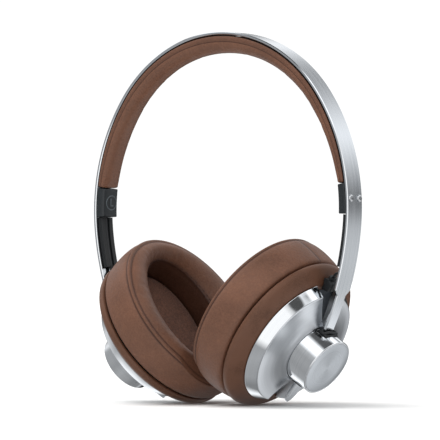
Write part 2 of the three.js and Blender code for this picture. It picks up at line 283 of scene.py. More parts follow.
def inflate(piece, held, pressure, caps):
    """Fills a sewn cover: cloth under pressure, held at its seams. caps limits each point's move in mm."""
    scene = bpy.context.scene
    scale = 10
    rest = np.array([v.co for v in piece.data.vertices])
    piece.data.transform(Matrix.Scale(scale, 4))
    seams = piece.vertex_groups.new(name="seams")
    seams.add([int(index) for index in held], 1.0, "REPLACE")
    filling = piece.modifiers.new("filling", "CLOTH")
    filling.settings.quality = 6
    filling.settings.mass = 0.4
    filling.settings.use_pressure = True
    filling.settings.uniform_pressure_force = pressure
    filling.settings.effector_weights.gravity = 0
    filling.settings.vertex_group_mass = "seams"
    filling.point_cache.frame_start = 1
    filling.point_cache.frame_end = 20
    for step in range(1, 21):
        scene.frame_set(step)
    seen = piece.evaluated_get(bpy.context.evaluated_depsgraph_get())
    swollen = np.array([v.co for v in seen.data.vertices]) / scale
    piece.modifiers.clear()
    piece.vertex_groups.clear()
    scene.frame_set(1)
    move = swollen - rest
    far = np.linalg.norm(move, axis=1)
    limit = np.asarray(caps) * MM
    move *= (limit * np.tanh(far / np.maximum(limit, 1e-9)) / np.maximum(far, 1e-12))[:, None]
    piece.data.vertices.foreach_set("co", (rest + move).ravel())
    piece.data.update()


# Materials


def linear(colour):
    """The linear colour of an sRGB hex value."""
    parts = [int(colour[i:i + 2], 16) / 255 for i in (1, 3, 5)]
    return tuple(p / 12.92 if p <= 0.04045 else ((p + 0.055) / 1.055) ** 2.4 for p in parts)


def rgba(colour):
    """A hex value or a linear colour, with full alpha."""
    return (*(linear(colour) if isinstance(colour, str) else colour), 1.0)


def add_node(tree, kind, inputs=None, **settings):
    """A node with its settings. An input takes a value, or another node's output that it is linked to."""
    made = tree.nodes.new(kind)
    for key, value in settings.items():
        setattr(made, key, value)
    for key, value in (inputs or {}).items():
        if isinstance(value, bpy.types.NodeSocket):
            tree.links.new(value, made.inputs[key])
        else:
            made.inputs[key].default_value = value
    return made


def noise(tree, place, scale, detail, **inputs):
    """The value of a noise pattern, from 0 to 1, whose coarsest grain is about 1 / scale wide."""
    return add_node(tree, "ShaderNodeTexNoise", {"Vector": place, "Scale": scale, "Detail": detail,
                                                 **inputs}).outputs["Fac"]


def maths(tree, operation, *numbers):
    """The result of one sum on numbers or on other nodes' outputs."""
    return add_node(tree, "ShaderNodeMath", dict(enumerate(numbers)), operation=operation).outputs[0]


def blended(tree, share, first, second):
    """A colour that goes from the first to the second as share goes from 0 to 1."""
    return add_node(tree, "ShaderNodeMix", {"Factor": share, "A": first, "B": second},
                    data_type="RGBA").outputs["Result"]


def start_material(name, **sockets):
    """A new node material and its shader, with the shader's own sockets set."""
    material = bpy.data.materials.new(name)
    material.use_nodes = True
    tree = material.node_tree
    tree.nodes.clear()
    shader = add_node(tree, "ShaderNodeBsdfPrincipled",
                      {key.replace("_", " "): value for key, value in sockets.items()})
    add_node(tree, "ShaderNodeOutputMaterial", {"Surface": shader.outputs["BSDF"]})
    return material, tree, shader


def object_mm(tree):
    """Coordinates in millimetres on the piece."""
    place = add_node(tree, "ShaderNodeTexCoord").outputs["Object"]
    return add_node(tree, "ShaderNodeVectorMath", {0: place, 1: (1000, 1000, 1000)},
                    operation="MULTIPLY").outputs["Vector"]


def tint(tree, factor, dark, light, low=0.3, high=0.7):
    """A colour between two hex values as a pattern goes from low to high."""
    ramp = add_node(tree, "ShaderNodeValToRGB", {"Fac": factor})
    ramp.color_ramp.elements[0].position = low
    ramp.color_ramp.elements[1].position = high
    ramp.color_ramp.elements[0].color = rgba(dark)
    ramp.color_ramp.elements[1].color = rgba(light)
    return ramp.outputs["Color"]


def between(tree, factor, low, high, start=0.0, end=1.0):
    """A number from low to high as factor goes from start to end."""
    return add_node(tree, "ShaderNodeMapRange", {"Value": factor, "From Min": start, "From Max": end,
                                                 "To Min": low, "To Max": high}).outputs["Result"]


def bump(tree, shader, height, depth, strength=1.0, below=None):
    """Relief of a depth in mm on the shader."""
    inputs = {"Height": height, "Distance": depth * MM, "Strength": strength}
    if below is not None:
        inputs["Normal"] = below
    made = add_node(tree, "ShaderNodeBump", inputs)
    tree.links.new(made.outputs["Normal"], shader.inputs["Normal"])
    return made.outputs["Normal"]


def leatherette(name, dark, light, grain, roughness):
    """Embossed polyurethane leather: pebbles of about 1 mm that break the highlight into a soft haze.
    A dark brown painted shade is mixed in where the piece's seam layer marks seams and hollows."""
    material, tree, shader = start_material(name, IOR=1.5, Specular_IOR_Level=0.35)
    place = object_mm(tree)
    cells = {"Vector": place, "Scale": 1 / grain, "Randomness": 0.9}
    pebbles = add_node(tree, "ShaderNodeTexVoronoi", cells, feature="SMOOTH_F1").outputs["Distance"]
    creases = noise(tree, place, 0.35 / grain, 5.0, Roughness=0.65)
    clouds = noise(tree, place, 0.05, 3.0)
    mottled = maths(tree, "ADD", maths(tree, "MULTIPLY", pebbles, creases), clouds)
    colour = tint(tree, mottled, dark, light, 0.3, 1.2)
    # Painted shade: the seam layer darkens the colour toward this dark brown in the seams' grooves, inside
    # the ear opening and on the headband pad's flanks.
    seam_and_shade = add_node(tree, "ShaderNodeAttribute", attribute_name="seam_and_shade").outputs["Fac"]
    tree.links.new(blended(tree, seam_and_shade, colour, rgba("#260D05")), shader.inputs["Base Color"])
    tree.links.new(between(tree, creases, roughness - 0.1, roughness + 0.12), shader.inputs["Roughness"])
    fine = bump(tree, shader, creases, 0.35, 0.5)
    bump(tree, shader, pebbles, 0.22, 0.6, fine)
    return material


def soft_touch_coat():
    """Soft touch paint over moulded ABS: an even brown with a fine spray texture and a broad sheen."""
    material, tree, shader = start_material("soft touch paint on moulded ABS", IOR=1.48,
                                            Specular_IOR_Level=0.28)
    place = object_mm(tree)
    spray = noise(tree, place, 2.2, 3.0)
    both = maths(tree, "ADD", spray, noise(tree, place, 0.09, 2.0))
    tree.links.new(tint(tree, both, "#4F3324", "#5F4030", 0.7, 1.3), shader.inputs["Base Color"])
    tree.links.new(between(tree, spray, 0.38, 0.56), shader.inputs["Roughness"])
    bump(tree, shader, spray, 0.08, 0.35)
    return material


def brushed_aluminium():
    """Aluminium strip brushed lengthwise: hair lines about 0.1 mm apart, drawn every 0.9 mm, that
    stretch each reflection across the band and leave faint streaks along it."""
    material, tree, shader = start_material("brushed aluminium strip", Metallic=1.0, Anisotropic=0.55)
    run = add_node(tree, "ShaderNodeUVMap", uv_map="run").outputs["UV"]
    hair = add_node(tree, "ShaderNodeVectorMath", {0: run, 1: (0.02, 1.1, 1)},
                    operation="MULTIPLY").outputs["Vector"]
    lines = noise(tree, hair, 1.0, 2.0, Roughness=0.6)
    tree.links.new(tint(tree, lines, "#C2C6CA", "#D2D5D8", 0.3, 0.7), shader.inputs["Base Color"])
    tree.links.new(between(tree, lines, 0.17, 0.22, 0.3, 0.7), shader.inputs["Roughness"])
    lengthwise = add_node(tree, "ShaderNodeTangent", direction_type="UV_MAP", uv_map="run")
    tree.links.new(lengthwise.outputs["Tangent"], shader.inputs["Tangent"])
    bump(tree, shader, lines, 0.005, 0.06)
    return material


def turned_aluminium(name, dark, light, low, high, spacing, anisotropic=0.6):
    """Lathe-turned aluminium: concentric tool marks. The coarser and more directional they are, the more
    they pull highlights into spokes across them."""
    material, tree, shader = start_material(name, Metallic=1.0, Anisotropic=anisotropic)
    place = object_mm(tree)
    parts = add_node(tree, "ShaderNodeSeparateXYZ", {"Vector": place})
    flat = add_node(tree, "ShaderNodeCombineXYZ", {"X": parts.outputs["X"],
                                                   "Y": parts.outputs["Y"]}).outputs[0]
    radius = add_node(tree, "ShaderNodeVectorMath", {0: flat}, operation="LENGTH").outputs["Value"]
    ring = maths(tree, "ADD", radius, parts.outputs["Z"])
    marks = add_node(tree, "ShaderNodeTexNoise", {"W": ring, "Scale": 1 / spacing, "Detail": 3.0},
                     noise_dimensions="1D").outputs["Fac"]
    tree.links.new(tint(tree, marks, dark, light), shader.inputs["Base Color"])
    tree.links.new(between(tree, marks, low, high, 0.3, 0.7), shader.inputs["Roughness"])
    round_about = add_node(tree, "ShaderNodeTangent", direction_type="RADIAL", axis="Z")
    tree.links.new(round_about.outputs["Tangent"], shader.inputs["Tangent"])
    bump(tree, shader, marks, 0.003, 0.08)
    return material


def cast_metal(name, dark, light, low, high, grain):
    """Plain metal with a fine grain, as bead blasted, anodised or plated."""
    material, tree, shader = start_material(name, Metallic=1.0)
    speck = noise(tree, object_mm(tree), 1 / grain, 3.0)
    tree.links.new(tint(tree, speck, dark, light), shader.inputs["Base Color"])
    tree.links.new(between(tree, speck, low, high, 0.3, 0.7), shader.inputs["Roughness"])
    bump(tree, shader, speck, 0.02, 0.2)
    return material


def moulded(name, dark, light, low, high, grain, depth=0.05):
    """Moulded plastic, rubber or film: nearly even colour with a spark-eroded grain of the tool."""
    material, tree, shader = start_material(name, IOR=1.5)
    speck = noise(tree, object_mm(tree), 1 / grain, 4.0)
    tree.links.new(tint(tree, speck, dark, light), shader.inputs["Base Color"])
    tree.links.new(between(tree, speck, low, high, 0.3, 0.7), shader.inputs["Roughness"])
    bump(tree, shader, speck, depth, 0.4)
    return material


def woven_cloth():
    """Woven polyester: threads 0.5 mm apart, drawn 0.9 mm apart so that the weave shows as a speckle."""
    material, tree, shader = start_material("woven polyester", Roughness=0.95, Sheen_Weight=0.15)
    place = object_mm(tree)
    parts = add_node(tree, "ShaderNodeSeparateXYZ", {"Vector": place})
    spacing = 0.9
    waves = [maths(tree, "SINE", maths(tree, "MULTIPLY", parts.outputs[way], 2 * math.pi / spacing))
             for way in ("X", "Y")]
    lint = noise(tree, place, 1.1, 2.0)
    weave = maths(tree, "MULTIPLY_ADD", maths(tree, "MULTIPLY", *waves), 0.35, lint)
    tree.links.new(tint(tree, weave, "#341B10", "#7E523C", 0.2, 0.9), shader.inputs["Base Color"])
    bump(tree, shader, weave, 0.15, 0.8)
    return material


FINISHES = {}


def make_finishes(colours):
    """Makes every material once, under the short name that the pieces ask for."""
    FINISHES.update(
        leather=leatherette("embossed polyurethane leather", tuple(colours.leather_dark),
                            tuple(colours.leather_light), 0.9, 0.5),
        thread=moulded("twisted polyester thread", "#2F1A11", "#4A2E22", 0.6, 0.8, 0.3),
        shell=soft_touch_coat(),
        strip=brushed_aluminium(),
        polished=turned_aluminium("polished turned aluminium", "#D6D9DC", "#DEE0E2", 0.07, 0.09, 0.8, 0.0),
        satin=turned_aluminium("satin turned aluminium", "#C9CCD0", "#CFD2D5", 0.3, 0.33, 0.9, 0.1),
        spun=turned_aluminium("spun aluminium", "#B2B6BA", "#BBBFC3", 0.27, 0.31, 0.6, 0.8),
        # A dark grey metal, used on the notch ramps as a painted dark reflection.
        dark_metal=cast_metal("dark grey aluminium for a painted reflection", "#3A3E42", "#4C5054", 0.35, 0.5, 0.7),
        plated=cast_metal("nickel plated steel", "#B9BBBD", "#D3D4D6", 0.18, 0.3, 1.2),
        magnet=cast_metal("nickel plated magnet", "#85888B", "#A0A3A6", 0.3, 0.45, 1.5),
        mark=moulded("raised mark in glass filled nylon", "#454D52", "#545C61", 0.4, 0.5, 0.6),
        plastic=moulded("glass filled nylon", "#12171A", "#1E2428", 0.36, 0.52, 0.6),
        rubber=moulded("moulded silicone rubber", "#0B0E10", "#15191C", 0.45, 0.65, 0.8),
        jacket=moulded("extruded lead jacket", "#101416", "#1B2023", 0.38, 0.5, 0.5),
        film=moulded("pressed driver film", "#303236", "#46494E", 0.2, 0.35, 2.0),
        board=moulded("solder mask on laminate", "#12402A", "#2A6B49", 0.35, 0.5, 2.5),
        wrap=moulded("foil wrap", "#8E9399", "#A9AEB3", 0.3, 0.45, 3.0),
        cloth=woven_cloth(),
    )


# Band and headband


def band_half_width(distance):
    """The strip is wide over the head and steps down to a narrow tail with a rounded tip."""
    d = abs(distance)
    if d <= SHOULDER:
        return BAND_HALF_WIDTH
    if d < SHOULDER + SHOULDER_RUN:
        return BAND_HALF_WIDTH + (TAIL_HALF_WIDTH - BAND_HALF_WIDTH) * (d - SHOULDER) / SHOULDER_RUN
    left = BAND_TIP - d
    round_end = 7.0
    if left >= round_end:
        return TAIL_HALF_WIDTH
    return max(0.4, TAIL_HALF_WIDTH * math.sqrt(max(0.0, 1 - (1 - left / round_end) ** 2)))


def build_band():
    """The strip with chamfered edges and lengthwise coordinates for its brushing."""
    half = (along(0, SHOULDER - 0.6, 1.6) + [SHOULDER, SHOULDER + 0.5, SHOULDER + SHOULDER_RUN - 0.5,
            SHOULDER + SHOULDER_RUN] + along(SHOULDER + SHOULDER_RUN + 1.2, BAND_TIP - 8, 1.6)
            + along(BAND_TIP - 7, BAND_TIP - 1, 0.75) + [BAND_TIP - 0.5, BAND_TIP - 0.15, BAND_TIP])
    stations = [-d for d in half[:0:-1]] + half
    chamfer = 0.35
    outlines, run = [], []
    for distance in stations:
        w = band_half_width(distance)
        c = min(chamfer, 0.5 * w)
        section = [(-w, -c), (-w + c, 0), (-w / 3, 0), (w / 3, 0), (w - c, 0), (w, -c), (w, c - BAND_THICK),
                   (w - c, -BAND_THICK), (0, -BAND_THICK), (c - w, -BAND_THICK), (-w, c - BAND_THICK)]
        outlines.append([on_band(distance, y, out) for y, out in section])
        run += [(distance, y) for y, out in section]
    strip = loft("band_strip_brushed", outlines, FINISHES["strip"])
    layer = strip.data.uv_layers.new(name="run")
    for loop in strip.data.loops:
        layer.data[loop.index].uv = run[loop.vertex_index]
    strip.data.materials.append(FINISHES["polished"])
    across = len(section)
    for face in strip.data.polygons:
        columns = {index % across for index in face.vertices}
        face.material_index = int(columns in ({0, 1}, {4, 5}, {6, 7}, {9, 10}))
    strip.data.set_sharp_from_angle(angle=math.radians(25))
    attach(strip, "headband")
    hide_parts("band_strip")


def build_carrier():
    """The black rail that holds the pad under the strip."""
    section = [(-4.8, -2.1), (-4.5, -1.8), (4.5, -1.8), (4.8, -2.1), (4.8, -4.3), (4.5, -4.6),
               (-4.5, -4.6), (-4.8, -4.3)]
    rail = loft("pad_rail", [[on_band(d, y, out) for y, out in section] for d in along(-124.2, 124.2, 1.8)],
                FINISHES["plastic"])
    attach(rail, "headband")
    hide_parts("pad_carrier")


def build_headband_pad(sizes):
    """The sewn cover over foam: a flat flange at the rail, a drawn seam and a crowned face."""
    reach = BLOCK_START - 0.3
    room = -4.9  # the bottom of the room for the rail
    section = [(5.4, -2.2), (6.25, -2.15), (6.5, -2.6), (6.65, -3.4), (6.65, -4.3), (6.45, -4.9),
               (6.3, -5.15), (6.45, -5.4), (6.75, -5.9), (6.75, -6.8), (6.45, -7.7), (5.8, -8.5),
               (4.9, -9.1), (3.9, -9.55), (2.9, -9.85), (1.9, -10.05), (0.9, -10.2), (0.0, -10.25)]
    seam_and_shade = 6
    section = section + [(-y, out) for y, out in section[-2::-1]]
    cover = len(section)
    section = section + [(-5.15, -4.2), (-5.0, -4.95), (-2.5, -4.95), (0, -4.95), (2.5, -4.95),
                         (5.0, -4.95), (5.15, -4.2)]
    stations = along(-reach, reach, 1.35)
    outlines = []
    for distance in stations:
        left = reach - abs(distance)
        full = min(1.0, 0.75 + 0.25 * math.sqrt(min(1.0, left / 3.0)))
        thin = 1 - PAD_TAPER * (abs(distance) / BLOCK_START) ** PAD_TAPER_CURVE
        outline = [(y, -PAD_TOP + (out + PAD_TOP) * thin) for y, out in section[:cover]]
        outline = [(y, room + (out - room) * full if out < room - 0.05 else out) for y, out in outline]
        outlines.append([on_band(distance, y, out) for y, out in outline + section[cover:]])
    pad = loft("headband_pad_cover", outlines, FINISHES["leather"])
    size = len(section)
    seams = (seam_and_shade, cover - 1 - seam_and_shade)
    count = len(pad.data.vertices)
    firm = [i for i in range(count) if i % size in seams or i % size in (0, 1, cover - 2, cover - 1)
            or i % size >= cover or i // size in (0, len(stations) - 1)]
    inflate(pad, firm, sizes.cover_pressure, np.full(count, sizes.headband_swell / MM))
    # Painted shade in the seam layer: strong along the two seams, faint on the flanks under the band.
    painted_shade = [0.85 if column in seams else 0.15 if column < seam_and_shade or cover > column > seams[1] else 0.0
              for column in range(size)]
    paint(pad, "seam_and_shade", painted_shade * len(stations))
    finer = pad.modifiers.new("finer", "SUBSURF")
    finer.levels = finer.render_levels = 1
    settled(pad)
    smooth(pad, math.radians(60))
    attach(pad, "headband")
    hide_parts("headband_pad")


def build_end_blocks():
    """The black end blocks: a D in section, with a raised ring and a side letter on the inner face."""
    for side in SIDES:
        sign = side_sign(side)
        section = [(-6.3, -1.8), (6.3, -1.8), (6.3, -4.6), (5.6, -6.2), (4.2, -6.8), (0, -7.0),
                   (-4.2, -6.8), (-5.6, -6.2), (-6.3, -4.6)]
        stations = along(BLOCK_START, BLOCK_END, 1.3)
        block = loft(f"end_block_body_{side}",
                     [[on_band(sign * d, sign * y, out) for y, out in section] for d in stations],
                     FINISHES["plastic"])
        soften(block, 0.5, 3)
        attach(block, "headband")
        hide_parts(f"end_block_{side}")
        angles = np.linspace(0, 2 * math.pi, 48, endpoint=False)
        path = [on_band(sign * (SCREWS + 4.0 * math.cos(a)), 4.0 * math.sin(a),
                        -6.98 + 0.2 * math.sin(a) ** 2) for a in angles]
        inward = (on_band(sign * SCREWS, 0, -8) - on_band(sign * SCREWS, 0, -7)).normalized()
        ring = tube(f"side_mark_ring_{side}", path, oval(0.3, 0.3, 8), inward, FINISHES["mark"], closed=True)
        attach(ring, "headband")
        letter = bpy.data.curves.new(f"side_mark_{side}", "FONT")
        letter.body = side
        letter.size = 6.0 * MM
        letter.extrude = 0.16 * MM
        letter.bevel_depth = 0.05 * MM
        letter.align_x = "CENTER"
        letter.align_y = "CENTER"
        mark = bpy.data.objects.new(f"side_mark_{side}", letter)
        bpy.context.scene.collection.objects.link(mark)
        top = (on_band(sign * (SCREWS - 1), 0, -7) - on_band(sign * SCREWS, 0, -7)).normalized()
        rightward = top.cross(inward)
        mark.matrix_world = Matrix.Translation(on_band(sign * SCREWS, 0, -7.08)) @ Matrix(
            (rightward, top, inward)).transposed().to_4x4()
        letter.materials.append(FINISHES["mark"])
        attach(mark, "headband")


def build_liners():
    """The channel under the strip that the flat lead lies in, below each end block."""
    section = [(-4.6, -1.8), (4.6, -1.8), (4.6, -4.0), (4.4, -4.2), (2.0, -4.2), (1.8, -4.0), (1.8, -2.2),
               (-1.8, -2.2), (-1.8, -4.0), (-2.0, -4.2), (-4.4, -4.2), (-4.6, -4.0)]
    for side in SIDES:
        sign = side_sign(side)
        liner = loft(f"lead_channel_{side}",
                     [[on_band(sign * d, sign * y, out) for y, out in section]
                      for d in along(BLOCK_END + 0.3, LINER_END, 1.5)], FINISHES["rubber"])
        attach(liner, "headband")
        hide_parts(f"lead_liner_{side}")


def build_screws():
    """Two pan head screws on each side, with a cross recess in the head."""
    for side in SIDES:
        sign = side_sign(side)
        slope = band_station(sign * SCREWS)[2]
        for where, y in (("rear", -SCREW_SPREAD), ("front", SCREW_SPREAD)):
            foot = on_band(sign * SCREWS, sign * y, 0)
            place = Matrix.Translation(foot) @ Matrix.Rotation(slope, 4, "Y") @ Matrix.Rotation(0.5, 4, "Z")
            dome = [(0, 0.05), (1.9, 0.05), (1.9, 0.45), (1.55, 0.82), (0.9, 0.95), (0, 0.98)]
            head = turned(f"block_screw_head_{where}_{side}", rounded(dome, 0.2), FINISHES["plated"],
                          place, 48)
            for turn in (0, math.pi / 2):
                arm = [[(-1.15, -0.22, z0), (1.15, -0.22, z0), (1.15, 0.22, z0), (-1.15, 0.22, z0)]
                       for z0 in (0.45, 1.4)]
                turned_place = place @ Matrix.Rotation(turn, 4, "Z")
                carve(head, wedge("arm", arm, FINISHES["dark_metal"], turned_place))
            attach(head, "headband")
            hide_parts(f"block_screw_{where}_{side}")


# Ear cups


def hole_radius(angle, spare=0.0):
    """Radius of the oval ear opening in a direction, grown by a margin in mm."""
    down, across = EAR_HOLE[0] + spare, EAR_HOLE[1] + spare
    return 1 / math.hypot(math.cos(angle) / down, math.sin(angle) / across)


# The ear pad's cover, in rows from its back to its back again, in mm. The side is round: radius, height.
PAD_SIDE = [
    (40.0, 1.15), (42.0, 1.1), (42.9, 0.5), (43.4, -0.6), (43.75, -2.4), (44.05, -4.6), (44.3, -6.8),
    (44.5, -9.0), (44.55, -11.2), (44.5, -13.4), (44.3, -15.3), (43.95, -16.6), (43.3, -17.35),
    (43.6, -17.75), (43.85, -18.3), (43.6, -18.85), (43.0, -19.1), (42.3, -18.95), (41.9, -18.85),
    (41.3, -19.6), (40.3, -20.5),
]
# The face goes from round to the opening's oval: share of the way, height
PAD_FACE = [
    (0.06, -21.1), (0.16, -21.4), (0.29, -21.3), (0.43, -20.7), (0.57, -19.7), (0.7, -18.4), (0.82, -16.9),
    (0.92, -15.5), (1.0, -14.4),
]
# The inside is oval: how far the row is outside the opening, height
PAD_INSIDE = [
    (0.9, -13.7), (0.7, -12.6), (0.5, -10.5), (0.5, -8.0), (0.5, -6.0), (0.5, -4.0), (0.6, -2.0), (0.9, -0.4),
    (1.6, 0.7), (2.8, 1.15),
]
PAD_STEPS = 168
FACE_RADIUS = 39.4
PAD_ROOM = 35.3
SWIVEL_ROOM = 0.09
WELT_START, WELT_END = 12, 18
LIP_ROW = len(PAD_SIDE) + len(PAD_FACE) - 1
STITCH_ROW = LIP_ROW - 1
CROSS_SEAM = math.pi
SEAM_SHADE_FINENESS = 90  # the painted line of shade on the cross seam is this many times narrower than the cushion's radius


def seam_closeness(angle):
    """1 on the cross seam at the top of the pad's side, and nothing 2 mm away from it."""
    return math.exp(-((angle - CROSS_SEAM) * 43 / 0.75) ** 2)


def pad_point(row, angle):
    """A point of the ear pad's cover in mm, in the cup's own frame."""
    face = row - len(PAD_SIDE)
    inside = face - len(PAD_FACE)
    if face < 0:
        r, height = PAD_SIDE[row]
    elif inside < 0:
        share, height = PAD_FACE[face]
        r = FACE_RADIUS * (1 - share) + hole_radius(angle, 0.6) * share
    else:
        margin, height = PAD_INSIDE[inside]
        r = hole_radius(angle, margin)
    if WELT_END < row < LIP_ROW:
        pucker = math.sin(angle * 46 + 1.7 * math.sin(angle * 5)) * (0.5 + 0.5 * math.sin(angle * 7 + 1))
        height += 0.14 * pucker * math.sin(math.pi * (row - WELT_END) / (LIP_ROW - WELT_END))
    if 2 < row < WELT_START:
        r -= 0.5 * seam_closeness(angle)
    return np.array((r * math.cos(angle), r * math.sin(angle), height))


def pressed(points):
    """The cushions meet under the head: each is flat where the other presses on it. Points are in mm."""
    down = -Vector(JOINTS["swivel_R"]["axis"])
    reach = -points[:, 0] * down.x + np.abs(points[:, 1]) * SWIVEL_ROOM
    lowest = (reach - PAD_ROOM) / -down.z
    above = (points[:, 2] - lowest) / 0.4
    points[:, 2] = lowest + 0.4 * np.where(above > 20, above, np.log1p(np.exp(np.minimum(above, 20))))
    return points


def build_ear_pads(sizes):
    """The ear cushions: a foam ring in a cover of three panels, sewn at a piped welt and at the lip."""
    rows = len(PAD_SIDE) + len(PAD_FACE) + len(PAD_INSIDE)
    angles = [2 * math.pi * i / PAD_STEPS for i in range(PAD_STEPS)]
    points = np.array([pad_point(row, angle) for row in range(rows) for angle in angles])
    faces = grid_faces(rows, PAD_STEPS, closed=True)
    base = face_outward(make_piece("pad_pattern", pressed(points) * MM, faces, FINISHES["leather"]))
    held_rows = {0, 1, STITCH_ROW, LIP_ROW, *range(WELT_START, WELT_END + 1), *range(LIP_ROW + 2, rows)}
    held = [row * PAD_STEPS + i for row in held_rows for i in range(PAD_STEPS)]
    held += [row * PAD_STEPS + PAD_STEPS // 2 for row in range(2, WELT_START)]
    swells = [sizes.side_swell if row <= WELT_START else sizes.face_swell for row in range(rows)]
    inflate(base, held, sizes.cover_pressure, np.repeat(swells, PAD_STEPS) / MM)
    filled = pressed(np.array([v.co for v in base.data.vertices]) / MM) * MM
    base.data.vertices.foreach_set("co", filled.ravel())
    base.data.update()
    # Painted shade in the seam layer: dark in the welt's grooves and at the lip seam, fainter beside them and
    # at the stitch row, and over the whole inside of the opening.
    dark = np.zeros((rows, PAD_STEPS))
    dark[WELT_START], dark[WELT_END], dark[LIP_ROW], dark[STITCH_ROW] = 0.85, 0.7, 0.8, 0.35
    dark[WELT_START + 1], dark[WELT_END - 1] = 0.25, 0.2
    dark[LIP_ROW + 1:] = 0.6
    paint(base, "seam_and_shade", dark.ravel())
    row = slice(STITCH_ROW * PAD_STEPS, (STITCH_ROW + 1) * PAD_STEPS)
    line = [(v.co.copy(), v.normal.copy()) for v in base.data.vertices[row]]
    finer = base.modifiers.new("finer", "SUBSURF")
    finer.levels = finer.render_levels = 1
    settled(base)
    smooth(base, math.radians(70))
    # A thin painted line of shade along the cross seam, at the top of the pad's side.
    for vertex, mark in zip(base.data.vertices, base.data.attributes["seam_and_shade"].data):
        x, y, height = vertex.co / MM
        if math.hypot(x, y) > 42.5 and height > -17:
            away = math.atan2(y, x) % (2 * math.pi) - CROSS_SEAM
            mark.value = max(mark.value, 0.9 * math.exp(-(away * SEAM_SHADE_FINENESS) ** 2))
    for side in SIDES:
        pad = bpy.data.objects.new(f"ear_pad_cover_{side}", base.data.copy())
        bpy.context.scene.collection.objects.link(pad)
        pad.matrix_world = cup_place(side)
        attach(pad, f"cup_{side}")
        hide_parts(f"ear_pad_{side}")
        stitches = build_stitches(f"lip_stitches_{side}", line, cup_place(side))
        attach(stitches, f"cup_{side}")
    bpy.data.objects.remove(base)


def build_stitches(name, line, place):
    """One row of lock stitches, 3 mm apart, on a line of points and normals beside the lip seam."""
    points, faces = [], []
    for start in range(0, PAD_STEPS, 3):
        centre = [line[(start + step) % PAD_STEPS] for step in range(3)]
        centre = [co + normal * lift * MM for (co, normal), lift in zip(centre, (-0.02, 0.16, -0.02))]
        first = len(points)
        for step, point in enumerate(centre):
            run = (centre[min(step + 1, 2)] - centre[max(step - 1, 0)]).normalized()
            up = line[(start + step) % PAD_STEPS][1]
            side_way = run.cross(up).normalized()
            thick = 0.22 if step == 1 else 0.12
            points += [point + (side_way * a + up * b) * MM for a, b in oval(thick, thick, 6)]
        faces += [tuple(first + i for i in face) for face in grid_faces(3, 6)]
        faces += [tuple(first + i for i in range(6)), tuple(first + 12 + i for i in range(5, -1, -1))]
    return make_piece(name, points, faces, FINISHES["thread"], place)


def build_baffle_cloths():
    """The acoustic cloth over the driver, drawn in a little at its glued edge."""
    for side in SIDES:
        rings = [(0.0, -2.3), (0.25, -2.3), (0.5, -2.2), (0.75, -2.0), (0.92, -1.75), (1.0, -1.45),
                 (1.0, -1.1), (0.5, -1.1), (0.0, -1.1)]
        down, across = EAR_HOLE[0] - 0.6, EAR_HOLE[1] - 0.6
        angles = np.linspace(0, 2 * math.pi, 96, endpoint=False)
        points = [Vector((0, 0, -2.3)) * MM, Vector((0, 0, -1.1)) * MM]
        for share, height in rings[1:-1]:
            points += [Vector((share * down * math.cos(a), share * across * math.sin(a), height)) * MM
                       for a in angles]
        faces = [tuple(i + 2 for i in face) for face in grid_faces(len(rings) - 2, 96)]
        last = 2 + (len(rings) - 3) * 96
        for i in range(96):
            faces += [(0, 2 + (i + 1) % 96, 2 + i), (1, last + i, last + (i + 1) % 96)]
        cloth = face_outward(make_piece(f"driver_cloth_{side}", points, faces, FINISHES["cloth"],
                                        cup_place(side)))
        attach(cloth, f"cup_{side}")
        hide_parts(f"baffle_cloth_{side}")


SHELL_OUTLINE = [
    (12.5, 10.4), (35.7, 10.4), (38.6, 9.0), (41.2, 7.2), (42.5, 5.9), (43.0, 4.6), (43.05, 3.4), (42.4, 2.3),
    (40.6, 2.1), (40.6, 4.4), (38.8, 6.4), (34.6, 8.6), (12.5, 8.6),
]


def build_cup_shells():
    """The moulded shell behind each pad. The right one has the charging socket's opening."""
    for side in SIDES:
        outline = rounded(SHELL_OUTLINE + [SHELL_OUTLINE[0]], 0.9)[1:-1]
        shell = turned(f"cup_shell_coated_{side}", [(12.5, 9.4)] + outline, FINISHES["shell"],
                       cup_place(side))
        if side == "R":
            half_width, half_height = 4.2, 1.5
            ring = [(math.copysign(abs(math.cos(a)) ** 0.6, math.cos(a)) * half_width,
                     math.copysign(abs(math.sin(a)) ** 0.8, math.sin(a)) * half_height + 4.6)
                    for a in np.linspace(0, 2 * math.pi, 24, endpoint=False)]
            opening = [[(x, y, z) for y, z in ring] for x in (37.0, 46.0)]
            carve(shell, wedge("opening", opening, FINISHES["plastic"],
                               cup_place(side) @ Matrix.Rotation(SOCKET_TURN, 4, "Z")))
        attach(shell, f"cup_{side}")
        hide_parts(f"cup_shell_{side}")


DISC_OUTLINE = [
    (15.8, 12.5), (19.4, 12.5), (19.4, 10.75), (35.3, 10.75), (35.35, 11.1), (32.35, 16.0), (32.05, 16.45),
    (31.6, 16.6), (30.0, 16.7), (28.0, 16.95), (26.0, 17.3), (24.0, 17.7), (22.0, 18.2), (20.0, 18.85),
    (18.4, 19.5), (17.2, 20.2), (16.5, 20.8), (15.8, 20.95),
]


